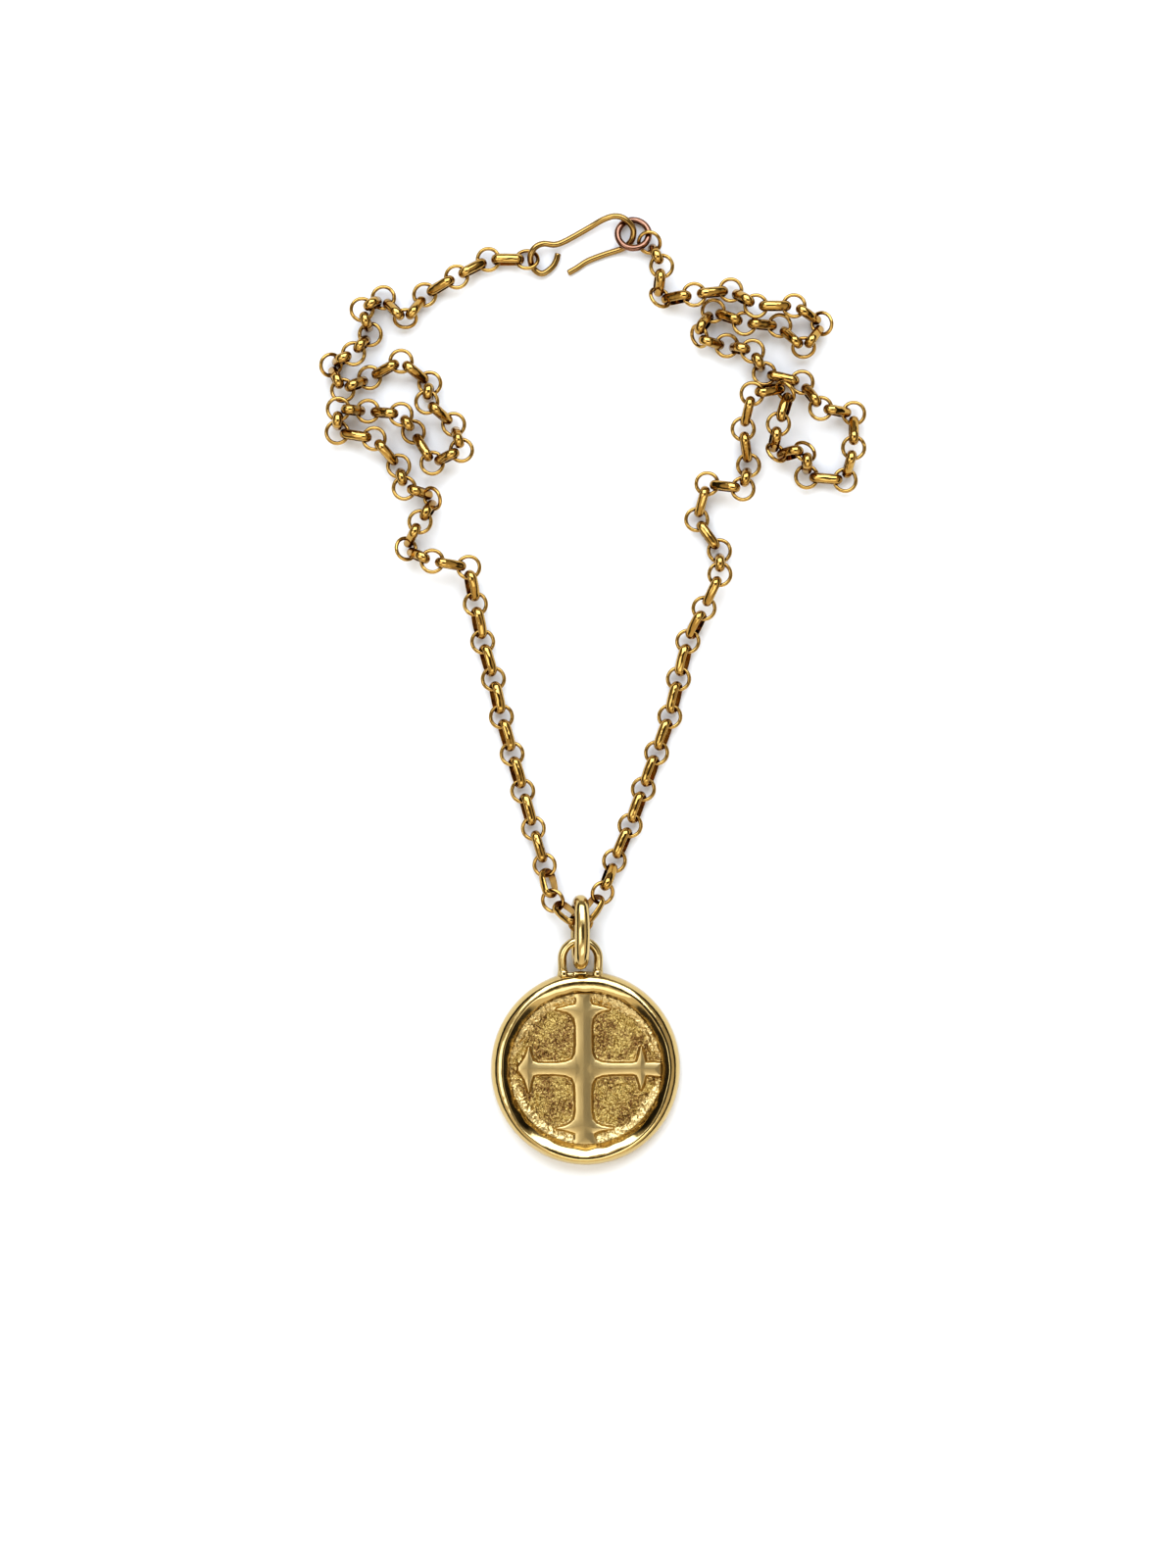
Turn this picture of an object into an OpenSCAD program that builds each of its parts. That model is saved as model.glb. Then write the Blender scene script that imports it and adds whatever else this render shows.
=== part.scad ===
/* [Medallion] */
// Outer diameter of the rim
rim_d = 29; // [26:0.5:34]
// Height of the rim above the surface it lies on
rim_h = 4; // [3.8:0.1:4.6]
// Width of the rim, seen from the front
rim_w = 2.9; // [2.6:0.1:3.2]
// Thickness of the back plate
back_t = 0.8; // [0.6:0.1:1.2]
// Height of the disc's ground above the surface
ground_z = 1.9; // [1.6:0.1:2.2]
// Height of the raised border above the ground
border_h = 0.3; // [0.1:0.05:0.5]
// Width of the raised border
border_w = 1.3; // [0.8:0.1:2]
// Height of the cross above the ground
cross_h = 0.6; // [0.3:0.05:0.8]

/* [Loop and bail] */
// Wire of the loop soldered on the rim
loop_wire = 1.35; // [1:0.05:1.6]
// Outer width of the loop
loop_w = 6.9; // [6:0.1:8]
// Reach of the loop past the rim's edge
loop_reach = 5.82; // [5.5:0.02:6.1]
// Slope of the loop, up from the rim
loop_rise = 10; // [5:1:14]
// Wire of the bail
bail_wire = 2.1; // [1.6:0.1:2.4]
// Length of the bail
bail_l = 11.2; // [10:0.1:13]
// Height of the bail
bail_h = 7.6; // [7:0.1:9]
// Lean of the bail to the side
bail_lean = 7; // [0:1:12]

/* [Chain] */
// Outer diameter of a ring
ring_d = 3.9; // [3.6:0.05:4.2]
// Wire of a ring
ring_wire = 0.58; // [0.5:0.05:0.7]
// Outer length of a long link
link_l = 5.15; // [5:0.05:5.4]
// Outer height of a long link
link_h = 2.7; // [2.6:0.05:3]
// Width of a long link's half-round wire
link_w = 1.2; // [1.1:0.05:1.3]
// Thickness of a long link's half-round wire
link_t = 0.45; // [0.4:0.05:0.55]
// Distance between the centres of two rings on the stretched chain
pitch = 5.92; // [5.8:0.02:6.2]

/* [Clasp] */
// Wire of the hook
hook_wire = 0.9; // [0.7:0.05:1]
// Outer diameter of the ring that the hook closes in
clasp_d = 5.7; // [5.4:0.1:6.2]
// Wire of that ring
clasp_wire = 0.95; // [0.8:0.05:1.1]

/* [Hidden] */
$fn = 64;

gap = 0.1;

// Centre of the medallion, so that the necklace as it lies is centred on the origin
medal_x = -1.11;
medal_y = -58.2;

// The rim: its half-round crest, and the seat of the disc under the inner lip
rim_in = rim_d/2 - rim_w;
crest_arc = rim_w/2;
disc_r = rim_in + 0.1;
disc_z = back_t + gap;
border_z = ground_z + border_h;
seat_z = border_z + gap;

// The cross is cast a little to the left of the disc's centre, and the sunk ground lower left
cross_x = -0.3;
cross_root = 0.3;
ground_x = -0.1;
ground_y = -0.1;

// The loop's legs sink into the rim by loop_root, where a bar and a knob of solder are left between them
loop_x = medal_x - 0.8;
loop_y = medal_y + rim_d/2 + loop_reach - loop_w/2;
loop_z = 2.5;
loop_root = 3.6;
bar = [6.7, 1.3, 1.9];
bar_y = medal_y + rim_d/2 - 0.75;
knob_d = 1.1;
knob_h = 2.1;
knob_y = medal_y + rim_d/2 + 0.1;
foot_z = 1.5;

// The bail stands in the loop
bail_y = loop_y + 4.23;
bail_z = (bail_h - bail_wire)/2*cos(bail_lean) + bail_wire/2;

// The rings of the chain: radius of their centre line, and from there to the middle of a link
ring_r = (ring_d - ring_wire)/2;
link_q = pitch/2 - ring_r;

// The ring in the bail, where the two chains meet
meet = [loop_x + 0.05, bail_y + 1.3, bail_z - 0.3];
meet_lean = 8;

// Slope of the ring that the hook closes in
clasp_up = [0, 0.37, 1];

// Slopes of the first rings, which pass through the hook's curl and through that ring
left_first = [0, 0.6, 1];
right_first = [-0.2, -0.4, 1];

// Folds of the chains from the clasp to the bail, read off link by link:
// number of links, heading from +X, rise, lean of the links, lean of their rings
left_folds = [
    [1, 180, 0, -8, 0],
    [1, 210, 30, 0, 0],
    [1, 208, -30, 0, 0],
    [1, 237, 50, 0, 0],
    [1, 131, -50, 0, 0],
    [1, 213, 80, 0, 0],
    [1, -72, -80, 0, 0],
    [1, -128, 75, 0, 0],
    [1, -159, -75, 0, 0],
    [1, -62, 62, 0, 0],
    [1, 28, -62, 0, 0],
    [1, 26, 36, 0, 0],
    [1, -37, -36, 0, 0],
    [1, -97, 95, 0, 0],
    [1, -39, -43, 0, 0],
    [1, -73, 68, 0, 0],
    [1, -158, -53, 0, 0],
    [1, 121, -26, 0, 0],
    [1, 126, 95, 0, 0],
    [1, 173, -45, 0, 0],
    [1, 178, 65, 0, 0],
    [1, -95, -88, 0, 0],
    [1, -10, 19, 0, 0],
    [1, -48, -31, 0, 0],
    [1, -75, 83, 0, 0],
    [1, -13, -55, 0, 0],
    [1, -124, 66, 0, 0],
    [1, -121, -57, 0, 0],
    [1, -23, 60, 0, 0],
    [1, -9, -28, 0, 0],
    [1, -80, -25, -20, 0],
    [1, -79, -13, -20, 0],
    [1, -74, 0, -20, 0],
    [1, -78, 0, -20, 0],
    [3, -74, 0, -20, 0],
    [1, -73, 0, -14, 10],
    [1, -78, 30, 0, 18],
    [1, -40, 30, 0, 24]
];
right_folds = [
    [1, -66, 68, 0, 0],
    [1, -98, -52, 0, 0],
    [1, 9, 35, 0, 0],
    [1, 8, -25, 0, 0],
    [1, -35, 60, 0, 0],
    [1, 1, -15, 0, 0],
    [1, -29, -45, 0, 0],
    [1, -126, 51, 0, 0],
    [1, 133, -45, 0, 0],
    [1, 178, 36, 0, 0],
    [1, 156, -44, 0, 0],
    [1, -126, 53, 0, 0],
    [1, -10, -55, 0, 0],
    [1, -15, 75, 0, 0],
    [1, -60, -80, 0, 0],
    [1, -13, 6, 0, 0],
    [1, -56, 50, 0, 0],
    [1, -7, -45, 0, 0],
    [1, -91, 38, 0, 0],
    [1, -104, -50, 0, 0],
    [1, 175, 0, 0, 0],
    [1, 90, 76, 0, 0],
    [1, -166, -54, 0, 0],
    [1, 78, 60, 0, 0],
    [1, 70, -30, 0, 0],
    [1, -168, 30, 0, 0],
    [1, -104, -35, 0, 0],
    [1, -81, -32, 0, 0],
    [1, -104, 78, 0, 0],
    [1, 171, -33, 0, 0],
    [1, -106, -26, 0, 0],
    [1, -54, 0, 0, 0],
    [1, -90, 82, 0, 0],
    [1, -115, -24, 0, 0],
    [1, -116, -30, 20, 0],
    [1, -104, -5, 20, 0],
    [1, -103, 0, 20, 0],
    [3, -110, 0, 20, 0],
    [1, -114, 0, 20, 0],
    [1, -110, 43, 0, -10],
    [1, -124, 19, 0, -24]
];

// Centre line of the hook from its curl to its free end: x, y, height, and the ring's centre beside it
hook_line = [
    [-4.2, 124.9, 0.9],
    [-4.5, 123.8, 0.9],
    [-5.2, 122.7, 0.9],
    [-6.6, 121.8, 0.9],
    [-7.8, 122.4, 0.95],
    [-8.4, 123.6, 1.35],
    [-8.3, 124.8, 1.85],
    [-7.6, 125.8, 2],
    [-6.4, 126.3, 1.8],
    [-4.7, 126.2, 1.4],
    [-3, 126.8, 1.2],
    [0.4, 128.7, 1.2],
    [2.7, 130, 1.6],
    [4.5, 130.5, 1.95],
    [6, 130.1, 1.95],
    [7.2, 128.8, 1.6],
    [7.3, 127.5, 1.1],
    [6.7, 126.4, 0.9],
    [5.5, 125.6, 0.6],
    [3, 124.8, 0.5],
    [0.4, 123.8, 0.5],
    [-1.3, 122.7, 0.5],
    [-2.7, 121.9, 0.5]
];
hook_sides = 8;
clasp_centre = [7.3, 127.8, 1.42];

// Outline of the cross's arms: distance from its centre, reach to the left and to the right of the arm
arm_up = [
    [0, 1.3, 1.3],
    [0.9, 2.3, 2.2],
    [1.3, 1.6, 1.6],
    [2.2, 1.25, 1.3],
    [4, 1.15, 1.2],
    [6.6, 1.2, 1.2],
    [7.7, 1.4, 1.4],
    [8.4, 2, 1.9],
    [8.8, 2.7, 2.6],
    [9.1, 4.1, 3.9],
    [9.5, 2.7, 2.5],
    [9.8, 1.3, 1.3],
    [10.4, 1.05, 1],
    [11.8, 1.1, 1.1]
];
arm_right = [
    [0, 0.8, 0.8],
    [1.3, 2, 2],
    [1.8, 1.3, 1.3],
    [2.8, 0.95, 0.95],
    [4.5, 0.8, 0.8],
    [7.4, 0.8, 0.75],
    [8.1, 1, 0.9],
    [8.4, 1.7, 1.7],
    [8.8, 3.3, 3],
    [9.2, 2, 2.1],
    [9.5, 0.9, 0.9],
    [11.8, 0.85, 1.1]
];
arm_down = [
    [0, 1.3, 1.3],
    [0.9, 2.2, 2.3],
    [1.3, 1.6, 1.6],
    [2.2, 1.25, 1.3],
    [4, 1.15, 1.2],
    [6.6, 1.2, 1.2],
    [7.7, 1.4, 1.4],
    [8.4, 2, 2.1],
    [8.8, 2.8, 2.8],
    [9.1, 4.5, 4.1],
    [9.5, 2.4, 2.3],
    [9.9, 1.5, 1.2],
    [11.8, 1.9, 1.3]
];
arm_left = [
    [0, 0.8, 0.8],
    [1.3, 2, 2],
    [1.8, 1.3, 1.3],
    [2.8, 0.95, 0.95],
    [4.5, 0.8, 0.8],
    [7, 0.8, 0.85],
    [7.7, 1, 1.1],
    [8, 1.8, 1.9],
    [8.4, 3.5, 3.2],
    [9, 1.7, 1.7],
    [9.5, 0.9, 0.9],
    [10, 0.3, 0.3]
];

function unit(v) = v/norm(v);
function turned(v, axis, a) = v*cos(a) + cross(axis, v)*sin(a) + axis*(axis*v)*(1 - cos(a));
function in_plane(v, n) = unit(v - (v*n)*n);
function level(row) = [cos(row[1]), sin(row[1]), 0];
function along(row) = cos(row[2])*level(row) + [0, 0, sin(row[2])];

// One row for each link
function spread(folds) = [for (row = folds) for (k = [1:row[0]]) row];

// Upright of a ring between links that leave it along a and b in plan, and along p and q in space:
// it tips where the chain folds so sharply that the links would meet in the ring
function upright(a, b, s, lean) =
    let (
        travel = unit(b - a),
        side = a + b,
        open = min(1, norm(a - b)/max(0.01, norm(side))),
        tip = norm(side) > 0.01 ? acos(open) : 0,
        raised = cos(tip)*[0, 0, 1] + sin(tip)*(s < 0 ? -1 : 1)*(tip > 0 ? unit(side) : side)
    )
    turned(raised, travel, lean);
function ring_uprights(rows, first) =
    [for (i = [0:len(rows)])
        let (before = rows[max(0, i - 1)], after = rows[i])
        i == 0 ? unit(first)
            : i == len(rows) ? meet_up
            : upright(-level(before), level(after), sin(after[2]) - sin(before[2]), after[4])];

// From one ring's centre to the next: over the ring, through the link and over the next ring
function steps(rows, ups) =
    [for (i = [0:len(rows) - 1])
        ring_r*in_plane(level(rows[i]), ups[i]) + 2*link_q*along(rows[i])
            + ring_r*in_plane(level(rows[i]), ups[i + 1])];
function sums(v, i = 0, p = [0, 0, 0]) = i == len(v) ? [p] : concat([p], sums(v, i + 1, p + v[i]));
function centres(rows, ups) =
    let (p = sums(steps(rows, ups)), last = p[len(p) - 1])
    [for (q = p) q - last + meet];

left_rows = spread(left_folds);
right_rows = spread(right_folds);
meet_up = upright(-level(left_rows[len(left_rows) - 1]), -level(right_rows[len(right_rows) - 1]), -1, meet_lean);
left_ups = ring_uprights(left_rows, left_first);
left_rings = centres(left_rows, left_ups);
right_ups = ring_uprights(right_rows, right_first);
right_rings = centres(right_rows, right_ups);

// The clasp goes where the first ring of the left chain lies, which is in the hook's curl
clasp_at = [left_rings[0][0] + 8.96, left_rings[0][1] - 123.91, 0];

// Centre and axes of link i: along it, across it, and its upright, shared between the rings at its ends
function link_centre(rows, ups, rings, i) =
    rings[i] + ring_r*in_plane(level(rows[i]), ups[i]) + link_q*along(rows[i]);
function link_axes(rows, ups, i) =
    let (
        u = along(rows[i]),
        h = level(rows[i]),
        m = unit(cross(ups[i], in_plane(h, ups[i])) + cross(ups[i + 1], in_plane(h, ups[i + 1]))),
        across = turned(in_plane(m, u), u, rows[i][3])
    )
    [u, across, cross(u, across)];

module posed(at, axes) {
    multmatrix([
        [axes[0][0], axes[1][0], axes[2][0], at[0]],
        [axes[0][1], axes[1][1], axes[2][1], at[1]],
        [axes[0][2], axes[1][2], axes[2][2], at[2]],
        [0, 0, 0, 1]
    ])
        children();
}

// Round wire bent to a ring, or to half of one
module round_ring(d, wire, angle = 360) {
    rotate_extrude(angle = angle)
        translate([(d - wire)/2, 0])
            circle(d = wire);
}

function ring_axes(up) =
    let (n = unit(up), a = unit(cross([0, 1, 0], n)))
    [a, cross(n, a), n];

// Half-round wire of the long links, rounded outside and flat inside, from the link's axis outwards
module link_wire() {
    arc_r = (link_w*link_w/4 + link_t*link_t)/(2*link_t);
    intersection() {
        translate([link_h/2 - arc_r, 0])
            circle(r = arc_r);
        translate([link_h/2 - link_t, -link_w/2])
            square([link_t, link_w]);
    }
}

module long_link() {
    straight = link_l - link_h;
    for (side = [0, 180]) {
        rotate([0, side, 0])
            translate([straight/2, 0, 0])
                rotate([90, 0, 0])
                    rotate([0, 0, -90])
                        rotate_extrude(angle = 180)
                            link_wire();
        rotate([0, side - 90, 0])
            linear_extrude(height = straight, center = true)
                link_wire();
    }
}

module chain(rows, ups, rings, last_ring) {
    for (i = [0:last_ring])
        posed(rings[i], ring_axes(ups[i]))
            round_ring(ring_d, ring_wire);
    for (i = [0:len(rows) - 1])
        posed(link_centre(rows, ups, rings, i), link_axes(rows, ups, i))
            long_link();
}

// Section of the bezel, from its axis outwards: back plate, wall, and the half-round rim over the disc
module bezel_section() {
    wall_r = disc_r + gap;
    square([wall_r + gap, back_t]);
    translate([wall_r, 0])
        square([rim_d/2 - wall_r, seat_z]);
    intersection() {
        union() {
            translate([rim_in + crest_arc, rim_h - crest_arc])
                circle(r = crest_arc);
            translate([rim_in, 0])
                square([rim_w, rim_h - crest_arc]);
        }
        translate([rim_in, seat_z])
            square([rim_w, rim_h - seat_z]);
    }
}

module bezel() {
    color("gold") {
        translate([medal_x, medal_y, 0])
            rotate_extrude()
                bezel_section();
        translate([loop_x, loop_y, loop_z])
            rotate([loop_rise, 0, 0]) {
                round_ring(loop_w, loop_wire, 180);
                for (side = [-1, 1])
                    translate([side*(loop_w - loop_wire)/2, 0, 0])
                        rotate([90, 0, 0])
                            cylinder(d = loop_wire, h = loop_root);
            }
        translate([loop_x - bar[0]/2, bar_y, foot_z])
            cube(bar);
        translate([loop_x, knob_y, foot_z])
            cylinder(d = knob_d, h = knob_h);
    }
}

module arm(outline) {
    polygon(concat(
        [for (row = outline) [row[0], row[1]]],
        [for (i = [len(outline) - 1:-1:0]) [outline[i][0], -outline[i][2]]]
    ));
}

module cross_disc() {
    color("goldenrod")
        translate([medal_x, medal_y, disc_z]) {
            difference() {
                cylinder(r = disc_r, h = border_z - disc_z);
                translate([ground_x, ground_y, ground_z - disc_z])
                    cylinder(r = disc_r - border_w, h = border_h + 1);
            }
            intersection() {
                translate([cross_x, 0, ground_z - disc_z - cross_root])
                    linear_extrude(height = cross_h + cross_root) {
                        rotate([0, 0, 90])
                            arm(arm_up);
                        arm(arm_right);
                        rotate([0, 0, -90])
                            arm(arm_down);
                        rotate([0, 0, 180])
                            arm(arm_left);
                    }
                cylinder(r = rim_in - gap, h = rim_h);
            }
        }
}

module bail() {
    straight = bail_l - bail_h;
    color("gold")
        translate([loop_x, bail_y, bail_z])
            rotate([0, bail_lean, 0])
                rotate([90, 0, 90])
                    for (side = [0, 180])
                        rotate([0, 0, side]) {
                            translate([straight/2, 0, 0])
                                rotate([0, 0, -90])
                                    round_ring(bail_h, bail_wire, 180);
                            translate([0, (bail_h - bail_wire)/2, 0])
                                rotate([0, 90, 0])
                                    cylinder(d = bail_wire, h = straight, center = true);
                        }
}

module chain_left() {
    color("gold")
        chain(left_rows, left_ups, left_rings, len(left_rows));
}

module chain_right() {
    color("gold")
        chain(right_rows, right_ups, right_rings, len(right_rows) - 1);
}

module clasp_hook() {
    n = len(hook_line);
    directions = [for (i = [0:n - 1]) unit(hook_line[min(n - 1, i + 1)] - hook_line[max(0, i - 1)])];
    points = [for (i = [0:n - 1])
        let (side = unit(cross([0, 0, 1], directions[i])), top = cross(directions[i], side))
        for (k = [0:hook_sides - 1])
            hook_line[i] + hook_wire/2*(cos(360*k/hook_sides)*side + sin(360*k/hook_sides)*top)];
    walls = [for (i = [0:n - 2]) for (k = [0:hook_sides - 1])
        let (a = i*hook_sides + k, b = i*hook_sides + (k + 1)%hook_sides)
        for (half = [0, 1])
            half == 0 ? [a, a + hook_sides, b] : [b, a + hook_sides, b + hook_sides]];
    ends = [
        [for (k = [0:hook_sides - 1]) k],
        [for (k = [hook_sides - 1:-1:0]) (n - 1)*hook_sides + k]
    ];
    color("gold")
        translate(clasp_at)
            polyhedron(points, concat(walls, ends));
}

module clasp_ring() {
    color("peru")
        posed(clasp_at + clasp_centre, ring_axes(clasp_up))
            round_ring(clasp_d, clasp_wire);
}

bezel();
cross_disc();
bail();
chain_left();
chain_right();
clasp_hook();
clasp_ring();
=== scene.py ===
import bmesh
import bpy
import numpy as np
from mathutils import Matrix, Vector, noise


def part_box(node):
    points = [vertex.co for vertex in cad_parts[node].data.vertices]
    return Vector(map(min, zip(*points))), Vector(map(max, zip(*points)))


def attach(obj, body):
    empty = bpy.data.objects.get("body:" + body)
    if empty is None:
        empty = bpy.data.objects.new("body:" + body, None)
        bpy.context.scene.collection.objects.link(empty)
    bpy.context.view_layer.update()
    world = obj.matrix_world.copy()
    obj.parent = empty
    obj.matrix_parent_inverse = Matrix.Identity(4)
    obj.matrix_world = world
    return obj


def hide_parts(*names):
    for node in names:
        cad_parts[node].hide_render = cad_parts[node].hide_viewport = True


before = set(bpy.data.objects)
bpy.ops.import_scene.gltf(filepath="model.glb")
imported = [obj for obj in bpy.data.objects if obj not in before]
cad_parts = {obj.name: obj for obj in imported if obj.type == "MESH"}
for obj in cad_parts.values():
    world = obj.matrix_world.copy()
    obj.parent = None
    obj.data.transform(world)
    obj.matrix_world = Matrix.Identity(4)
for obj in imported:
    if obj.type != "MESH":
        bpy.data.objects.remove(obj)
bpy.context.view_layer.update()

# The bezel is a heavy rim of 18 carat gold, turned up round the disc and rubbed down over its edge with
# a burnisher, so its inner lip wavers. A wire loop for the bail is soldered on top of it, with a bar and
# a knob of solder left between the loop's feet and a lump at each foot.
MM = 0.001


def linear(colour):
    """The linear values that a shader takes, from an sRGB hex colour."""
    parts = [int(colour[i:i + 2], 16)/255 for i in (1, 3, 5)]
    return [c/12.92 if c <= 0.04045 else ((c + 0.055)/1.055)**2.4 for c in parts] + [1.0]


def add(material, kind, inputs, **settings):
    """Adds a node with its settings. An input is a value, or the socket that it is linked to.

    The inputs 0, 6 and 7 of a Mix node are its share and its two colours.
    """
    made = material.node_tree.nodes.new(kind)
    for name, value in settings.items():
        setattr(made, name, value)
    for name, value in inputs.items():
        if isinstance(value, bpy.types.NodeSocket):
            material.node_tree.links.new(value, made.inputs[name])
        else:
            made.inputs[name].default_value = value
    return made


def finish_of(name):
    """A material with its object coordinates in millimetres, and no shader yet."""
    material = bpy.data.materials.new(name)
    material.use_nodes = True
    material.node_tree.nodes.clear()
    place = add(material, "ShaderNodeTexCoord", {})
    scaled = add(material, "ShaderNodeVectorMath",
                 {0: place.outputs["Object"], 1: (1/MM, 1/MM, 1/MM)}, operation="MULTIPLY")
    return material, scaled.outputs[0]


def metal(material, colour, roughness, normal):
    """The metal's shader and the material's output."""
    shader = add(material, "ShaderNodeBsdfPrincipled",
                 {"Metallic": 1.0, "Base Color": colour, "Roughness": roughness, "Normal": normal})
    add(material, "ShaderNodeOutputMaterial", {"Surface": shader.outputs[0]})
    return material


# Burnished gold: rubbed with hard steel until it shines, so it mirrors the light with slightly wavy edges,
# and a haze of fine rubs and finger grease softens the mirror in places. The rubs are really some hundredths
# of a millimetre apart, and are drawn coarser to show. Sizes and depths are in mm.
haze_size, rub_size, tone_size, wave_size = 2.6, 0.22, 5.0, 1.6
wave_depth, rub_depth = 0.05, 0.012
burnished_gold, at = finish_of("burnished_gold")
haze = add(burnished_gold, "ShaderNodeTexNoise", {"Vector": at, "Scale": 1/haze_size, "Detail": 3.0})
rubs = add(burnished_gold, "ShaderNodeTexNoise",
           {"Vector": at, "Scale": 1/rub_size, "Detail": 4.0, "Roughness": 0.65})
hazy = add(burnished_gold, "ShaderNodeMapRange",
           {"Value": haze.outputs["Fac"], "From Min": 0.35, "From Max": 0.7, "To Min": 0.06, "To Max": 0.16})
gloss = add(burnished_gold, "ShaderNodeMath",
            {0: rubs.outputs["Fac"], 1: 0.06, 2: hazy.outputs[0]}, operation="MULTIPLY_ADD")
tone = add(burnished_gold, "ShaderNodeTexNoise", {"Vector": at, "Scale": 1/tone_size, "Detail": 2.0})
gold = add(burnished_gold, "ShaderNodeMix",
           {0: tone.outputs["Fac"], 6: linear("#ccb585"), 7: linear("#c3ab72")}, data_type="RGBA")
waves = add(burnished_gold, "ShaderNodeTexNoise", {"Vector": at, "Scale": 1/wave_size, "Detail": 1.0})
wavy = add(burnished_gold, "ShaderNodeBump",
           {"Height": waves.outputs["Fac"], "Strength": 1.0, "Distance": wave_depth*MM})
rubbed_face = add(burnished_gold, "ShaderNodeBump",
                  {"Height": rubs.outputs["Fac"], "Strength": 0.35, "Distance": rub_depth*MM,
                   "Normal": wavy.outputs[0]})
metal(burnished_gold, gold.outputs[2], gloss.outputs[0], rubbed_face.outputs[0])


def quads(rows, columns, close_rows=False, close_columns=True):
    """Faces between neighbouring points of a grid that is stored row by row."""
    i = np.arange(rows if close_rows else rows - 1)[:, None]
    j = np.arange(columns if close_columns else columns - 1)[None, :]
    below, beside = (i + 1) % rows, (j + 1) % columns
    corners = [i*columns + j, i*columns + beside, below*columns + beside, below*columns + j]
    return np.stack([c.ravel() for c in np.broadcast_arrays(*corners)], 1)


def wire(path, radius, sides=16, closed=False):
    """Round wire along a path in mm, with one radius or one for each point. Cut ends are filed round."""
    path = np.asarray(path, float)
    radius = np.broadcast_to(np.asarray(radius, float), len(path)).copy()
    ahead = np.roll(path, -1, 0) - np.roll(path, 1, 0)
    if not closed:
        ahead[0], ahead[-1] = path[1] - path[0], path[-1] - path[-2]
    ahead /= np.linalg.norm(ahead, axis=1)[:, None]
    # Any direction will do that no wire here starts in
    side = np.cross(ahead[0], [0.3, 0.2, 1.0])
    across = []
    for direction in ahead:
        side = side - direction*(side @ direction)
        side /= np.linalg.norm(side)
        across.append(side)
    across = np.array(across)
    up = np.cross(ahead, across)
    if closed:
        rows = [(path[i], radius[i], i) for i in range(len(path))]
    else:
        # How far in from the tip each row of a filed end lies, and how wide it is, in shares of the radius
        filed = [(0.0, 0.02), (0.0, 0.7), (0.1, 0.9), (0.28, 0.99)]
        filed_part = 0.4
        start = [(path[0] + ahead[0]*radius[0]*inwards, radius[0]*width, 0) for inwards, width in filed]
        end = [(path[-1] - ahead[-1]*radius[-1]*inwards, radius[-1]*width, len(path) - 1)
               for inwards, width in reversed(filed)]
        inner = [(path[i], radius[i], i) for i in range(1, len(path) - 1)
                 if np.linalg.norm(path[i] - path[0]) > filed_part*radius[0]
                 and np.linalg.norm(path[i] - path[-1]) > filed_part*radius[-1]]
        rows = start + inner + end
    turn = np.linspace(0, 2*np.pi, sides, endpoint=False)
    points = np.array([centre + r*(np.cos(turn)[:, None]*across[i] + np.sin(turn)[:, None]*up[i])
                       for centre, r, i in rows])
    return points.reshape(-1, 3), quads(len(rows), sides, close_rows=closed)


def piece(name, shells, material, node):
    """Joins shells, each its points in mm and its faces, into one mesh that stands for a CAD node."""
    points, faces, first = [], [], 0
    for shell_points, shell_faces in shells:
        points.append(np.asarray(shell_points, float)*MM)
        faces.extend([[first + int(i) for i in face] for face in shell_faces])
        first += len(shell_points)
    mesh = bpy.data.meshes.new(name)
    mesh.from_pydata(np.vstack(points).tolist(), [], faces)
    shape = bmesh.new()
    shape.from_mesh(mesh)
    bmesh.ops.recalc_face_normals(shape, faces=shape.faces)
    shape.to_mesh(mesh)
    shape.free()
    mesh.shade_smooth()
    mesh.materials.append(material)
    made = bpy.data.objects.new(name, mesh)
    bpy.context.scene.collection.objects.link(made)
    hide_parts(node)
    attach(made, "root")
    return made


def ripple(angles, waves, size, seed):
    """An uneven ripple round a ring, in mm: sines of the given waves to a turn, with seeded phases."""
    rng = np.random.default_rng(seed)
    total = sum(rng.uniform(0.4, 1)*np.sin(k*angles + rng.uniform(0, 2*np.pi)) for k in waves)
    return size*total/np.sqrt(len(waves)/4)


def smooth(value, low, high):
    """Rises from 0 to 1 with soft ends, where the value goes from low to high."""
    t = np.clip((value - low)/(high - low), 0, 1)
    return t*t*(3 - 2*t)


# The rim's section runs from the middle of its back, round the outside, over the crest and down the lip to
# the disc, and then under the disc over the back plate. All radii and heights are in mm.
disc_low, disc_high = (np.array(c)/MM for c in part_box("cross_disc"))
medal_x, medal_y = (disc_low[:2] + disc_high[:2])/2
rim_r, rim_h, rim_up, back_r, back_z, dome_h = 14.48, 3.98, 0.08, 12.0, 0.02, 2.2
crest_r, shoulder_r, lip_foot_r, lip_foot_z = 12.85, 11.85, 11.63, 2.32
oval, oval_run = 0.023, 1.5
# Radius and height of the corners under the disc, from the lip's foot to the middle of the back plate
SEAT = [(lip_foot_r + 0.2, lip_foot_z - 0.06), (11.95, 1.4), (11.8, 0.9), (0.0, 0.85)]
# How far in from the outside each point of the lower edge lies, and its height
LOWER_EDGE = [(0.35, 0.02), (0.16, 0.07), (0.05, 0.2), (0, 0.4), (0, 1.1)]
# Shares of the way from the lip's shoulder to its foot, inwards and down
LIP_FOOT = [(0.12, 0.16), (0.3, 0.42), (0.6, 0.72), (0.9, 0.93), (1.0, 1.0)]
# The lip's slope in degrees: at the left and right it is steep at once and gets steeper, and at the top and
# bottom it bends down evenly. The steps are shares of the way from crest to shoulder.
steep, steeper, steep_from, even = 36, 11, 0.14, 40
lip_steps = np.array([0.04, 0.1, 0.17, 0.26, 0.36, 0.47, 0.58, 0.69, 0.8, 0.9, 1.0])
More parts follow.
